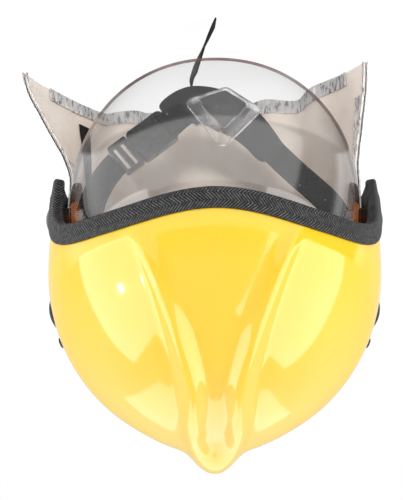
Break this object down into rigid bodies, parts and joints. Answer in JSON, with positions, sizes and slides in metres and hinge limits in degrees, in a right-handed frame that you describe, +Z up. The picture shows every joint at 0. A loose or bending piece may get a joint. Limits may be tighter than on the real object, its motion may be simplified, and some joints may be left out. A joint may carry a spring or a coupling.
{
  "type": "firefighter helmet",
  "caption": "Yellow full-shell firefighter helmet with crest ribs, rubber edge trim, tilting clear visor, hanging neck cape and a buckled chin strap with a clear chin cup.",
  "frame": {"origin": "centre of the head space, level with the shell's widest section", "axes": "+Z up to the crown, -Y to the front, +X to the wearer's left"},
  "size_m": [0.2669, 0.3022, 0.351],
  "materials": {
    "shell_paint": "glossy yellow lacquer over moulded composite",
    "trim_rubber": "matt charcoal with a woven herringbone face",
    "visor_clear": "clear polycarbonate with a copper-brown edge",
    "cup_clear": "clear moulded plastic",
    "black_gloss": "glossy black moulded plastic",
    "black_matt": "fine-textured black plastic",
    "white_plastic": "natural moulded plastic",
    "foam": "beaded foam",
    "pad_cloth": "knitted cloth over foam",
    "leather": "soft brown leather",
    "webbing": "woven black polyester",
    "cape_silver": "aluminised cloth",
    "cape_beige": "woven beige lining",
    "hook_tape": "black hook tape",
    "steel": "plated steel"
  },
  "bodies": {
    "helmet": {"outer_shell": "shell_paint", "edge_trim": "trim_rubber", "impact_liner": "foam", "headband": "black_matt", "sweatband": "leather", "crown_strap_left": "webbing", "crown_strap_right": "webbing", "crown_pad": "pad_cloth", "band_hangers": "black_matt", "ratchet_housing": "black_matt", "nape_pad": "pad_cloth", "pivot_cover_left": "black_matt", "pivot_cover_right": "black_matt", "pivot_bolts": "steel", "pivot_spacers": "black_matt", "pivot_washers": "steel", "pivot_nuts": "steel", "side_fitting_left": "black_matt", "side_fitting_right": "black_matt", "side_fixings": "black_matt", "neck_cape": "cape_silver", "cape_lining": "cape_beige", "cape_hem": "cape_silver", "cape_tab": "hook_tape", "cape_strip": "black_matt", "cape_snaps": "steel", "strap_pins": "steel"},
    "visor": {"visor": "visor_clear"},
    "ratchet_knob": {"ratchet_knob": "black_matt", "ratchet_pinion": "white_plastic"},
    "rack_left": {"rack_left": "black_matt"},
    "rack_right": {"rack_right": "black_matt"},
    "chin_strap": {"strap_left": "webbing", "strap_right": "webbing", "strap_tail": "webbing", "chin_pad": "pad_cloth", "chin_cup": "cup_clear", "buckle_body": "black_gloss", "buckle_insert": "black_gloss"},
    "prong_upper": {"prong_upper": "black_gloss"},
    "prong_lower": {"prong_lower": "black_gloss"}
  },
  "joints": [
    {"name": "visor_tilt", "type": "hinge", "parent": "helmet", "child": "visor", "pos_m": [0, -0.01, -0.0405], "axis": [-1, 0, 0], "range_deg": [0, 44]},
    {"name": "chin_strap_swing", "type": "hinge", "parent": "helmet", "child": "chin_strap", "pos_m": [0, 0.012, -0.036], "axis": [-1, 0, 0], "range_deg": [-25, 20]},
    {"name": "prong_upper_squeeze", "type": "slide", "parent": "chin_strap", "child": "prong_upper", "axis": [0.6273, 0, -0.7788], "range_m": [0, 0.0025], "stiffness_N_per_m": 900},
    {"name": "prong_lower_squeeze", "type": "slide", "parent": "chin_strap", "child": "prong_lower", "axis": [-0.6273, 0, 0.7788], "range_m": [0, 0.0025], "stiffness_N_per_m": 900},
    {"name": "knob_turn", "type": "hinge", "parent": "helmet", "child": "ratchet_knob", "pos_m": [0, 0.10921, 0.001], "axis": [0, 1, 0], "range_deg": [-90, 90]},
    {"name": "rack_left_draw", "type": "hinge", "parent": "helmet", "child": "rack_left", "pos_m": [0, 0.03921, 0.001], "axis": [0, 0, 1], "range_deg": [-7.2, 7.2]},
    {"name": "rack_right_draw", "type": "hinge", "parent": "helmet", "child": "rack_right", "pos_m": [0, 0.03921, 0.001], "axis": [0, 0, 1], "range_deg": [-7.2, 7.2]}
  ],
  "couplings": [
    {"joint": "rack_left_draw", "follows": "knob_turn", "ratio": -0.078318},
    {"joint": "rack_right_draw", "follows": "knob_turn", "ratio": 0.076171}
  ]
}
